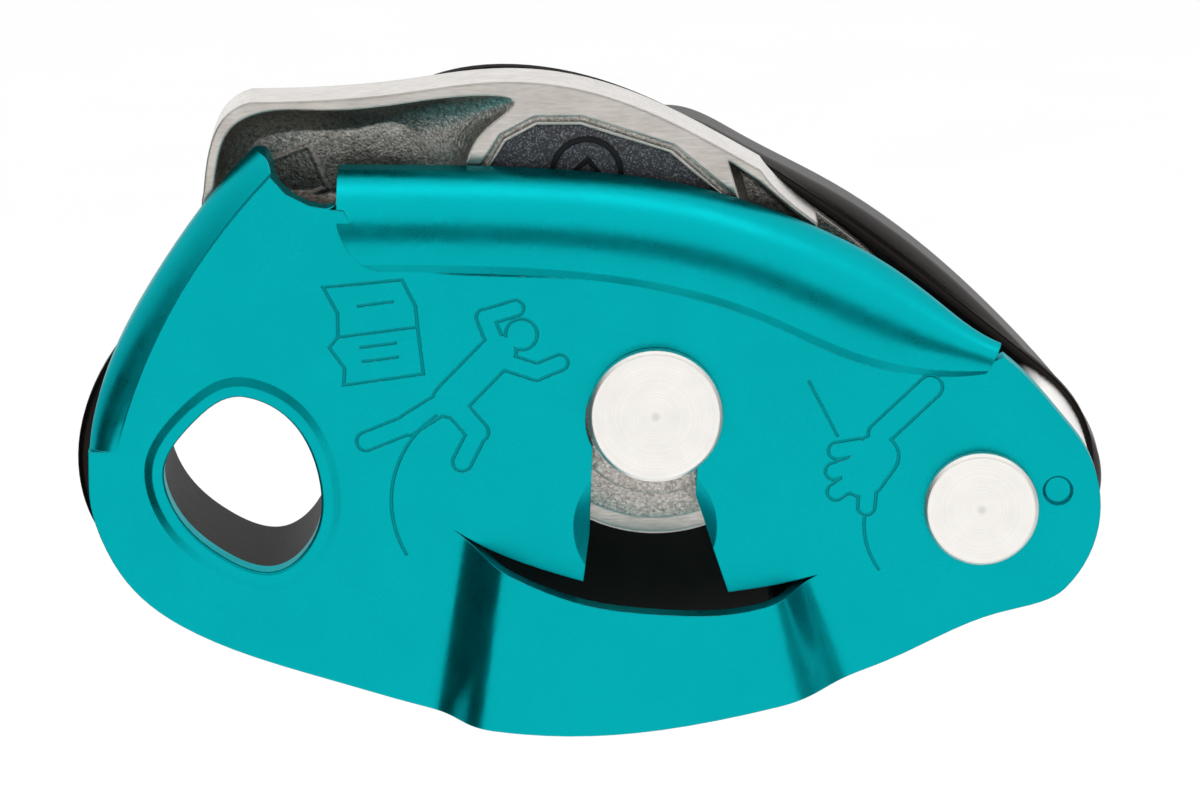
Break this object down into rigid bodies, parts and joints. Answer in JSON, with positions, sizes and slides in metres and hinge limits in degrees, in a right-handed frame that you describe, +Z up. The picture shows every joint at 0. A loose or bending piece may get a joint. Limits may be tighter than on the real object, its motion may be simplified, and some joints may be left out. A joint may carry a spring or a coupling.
{
  "type": "belay device",
  "caption": "Assisted-braking belay device: swinging side plate, spring-loaded cam on an axle, friction plate and folding release handle.",
  "frame": {"origin": "centre of the attachment hole, on the inner face of the fixed side plate", "axes": "+X from the attachment hole to the pivot rivet, +Y from the moving plate to the fixed plate and handle, +Z up towards the thumb rest"},
  "size_m": [0.1095, 0.0373, 0.0668],
  "materials": {
    "teal_anodised": "anodised satin",
    "black_anodised": "anodised black",
    "polished_steel": "polished",
    "turned_steel": "fine turned",
    "cast_steel": "bead-blasted casting with polished rims",
    "spring_steel": "drawn wire",
    "bronze": "sintered",
    "dark_panel": "glittering dark grey",
    "handle_alloy": "as cast",
    "black_nylon": "fine-grained nylon"
  },
  "bodies": {
    "body_frame": {"fixed_side_plate": "black_anodised", "attachment_collar": "black_anodised", "friction_plate": "polished_steel", "friction_plate_rivets": "turned_steel", "main_axle": "turned_steel", "pivot_rivet": "turned_steel", "pivot_spring_washer": "spring_steel", "cam_return_spring": "spring_steel", "axle_rear_washer": "turned_steel"},
    "cam_assembly": {"cam": "cast_steel", "cam_bushing": "bronze", "cam_insert_panel": "dark_panel", "cam_drive_pin": "turned_steel"},
    "handle_assembly": {"handle_core": "handle_alloy", "handle_sleeve": "bronze", "handle_grip": "black_nylon", "handle_hub_cap": "black_nylon", "handle_screws": "turned_steel", "handle_wave_washer": "spring_steel"},
    "moving_plate_assembly": {"moving_side_plate": "teal_anodised", "pivot_bush": "bronze"}
  },
  "joints": [
    {"name": "cam_lock", "type": "hinge", "parent": "body_frame", "child": "cam_assembly", "pos_m": [0.043, 0, 0.0082], "axis": [0, 1, 0], "range_deg": [0, 25], "stiffness_Nm_per_rad": 0.12, "springref_deg": -34.38},
    {"name": "handle_unfold", "type": "hinge", "parent": "body_frame", "child": "handle_assembly", "pos_m": [0.043, 0, 0.0082], "axis": [0, -1, 0], "range_deg": [0, 150]},
    {"name": "plate_swing", "type": "hinge", "parent": "body_frame", "child": "moving_plate_assembly", "pos_m": [0.077, 0, -0.0018], "axis": [0, 1, 0], "range_deg": [0, 105]}
  ]
}
